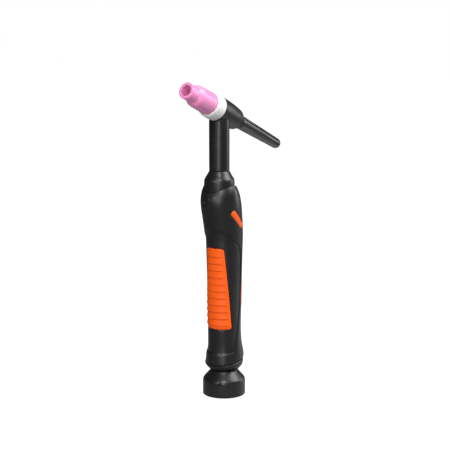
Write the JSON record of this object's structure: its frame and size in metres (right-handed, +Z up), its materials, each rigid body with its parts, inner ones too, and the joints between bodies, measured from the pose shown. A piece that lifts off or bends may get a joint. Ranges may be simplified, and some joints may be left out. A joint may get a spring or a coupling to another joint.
{
  "type": "tig torch",
  "caption": "Hand-held angled TIG welding torch with a ceramic nozzle, long back cap, ergonomic two-part handle and a swivelling cable outlet.",
  "frame": {"origin": "on the axis of the lower handle, at the middle of the grip", "axes": "+Z up the handle towards the head, -Y the way the nozzle points, +Y towards the back cap, +X the right-hand side"},
  "size_m": [0.0336, 0.1304, 0.2467],
  "materials": {
    "alumina_pink": "satin fired alumina, faint mottle",
    "ptfe_white": "satin, slightly translucent white",
    "head_rubber": "satin moulded rubber",
    "handle_plastic": "fine spark-eroded texture, satin",
    "orange_grip": "matte soft-touch orange",
    "orange_badge": "semi-gloss orange",
    "phenolic_black": "glossy moulded phenolic",
    "switch_plastic": "satin",
    "seal_rubber": "matte",
    "copper": "turned copper",
    "brass": "turned brass",
    "tungsten": "ground tungsten",
    "zinc_steel": "zinc plated",
    "black_steel": "black oxide finish",
    "acetal_dark": "satin acetal",
    "lead_sheath": "matte sheath"
  },
  "bodies": {
    "torch_body": {"heat_shield_ring": "ptfe_white", "head_cover": "head_rubber", "neck_collar": "head_rubber", "handle_shell_left": "handle_plastic", "handle_shell_right": "handle_plastic", "handle_end_ring": "handle_plastic", "front_grip_insert": "orange_grip", "rear_grip_insert": "orange_grip", "badge_right": "orange_badge", "badge_left": "orange_badge", "collet_body": "copper", "collet": "copper", "gas_power_tube": "copper", "torch_head_core": "brass", "tube_coupling_nut": "brass", "cable_fitting": "brass", "handle_screw_1": "zinc_steel", "handle_screw_2": "zinc_steel", "handle_screw_3": "zinc_steel", "neck_clamp": "acetal_dark", "micro_switch": "acetal_dark", "lead_connector": "acetal_dark", "control_lead": "lead_sheath"},
    "nozzle": {"gas_nozzle": "alumina_pink"},
    "electrode": {"tungsten_electrode": "tungsten"},
    "cap_travel": {"back_cap_o_ring": "seal_rubber"},
    "cap": {"back_cap": "phenolic_black"},
    "button": {"start_button": "switch_plastic"},
    "outlet_turn": {"ball_seat_ring": "acetal_dark"},
    "outlet": {"swivel_ball": "acetal_dark", "cable_collar": "handle_plastic", "collar_lock_nut": "acetal_dark", "collar_set_screw": "black_steel"}
  },
  "joints": [
    {"name": "nozzle_pull", "type": "slide", "parent": "torch_body", "child": "nozzle", "axis": [0, -0.9317, 0.3633], "range_m": [0, 0.03]},
    {"name": "electrode_feed", "type": "slide", "parent": "torch_body", "child": "electrode", "axis": [0, -0.9317, 0.3633], "range_m": [0, 0.018]},
    {"name": "cap_advance", "type": "slide", "parent": "torch_body", "child": "cap_travel", "axis": [0, 0.9317, -0.3633], "range_m": [0, 0.0075]},
    {"name": "cap_unscrew", "type": "hinge", "parent": "cap_travel", "child": "cap", "pos_m": [0, -0.0064, 0.141], "axis": [0, 0.9317, -0.3633], "range_deg": [0, 2160]},
    {"name": "start_press", "type": "slide", "parent": "torch_body", "child": "button", "axis": [0.3681, 0.9298, 0], "range_m": [0, 0.001], "stiffness_N_per_m": 400, "springref_m": -0.001},
    {"name": "outlet_swivel", "type": "hinge", "parent": "torch_body", "child": "outlet_turn", "pos_m": [0, 0, -0.0502], "axis": [0, 0, 1], "continuous": true},
    {"name": "outlet_tilt", "type": "hinge", "parent": "outlet_turn", "child": "outlet", "pos_m": [0, 0, -0.0502], "axis": [1, 0, 0], "range_deg": [-15, 15]}
  ],
  "couplings": [
    {"joint": "cap_unscrew", "follows": "cap_advance", "rad_per_m": 5026.5}
  ]
}
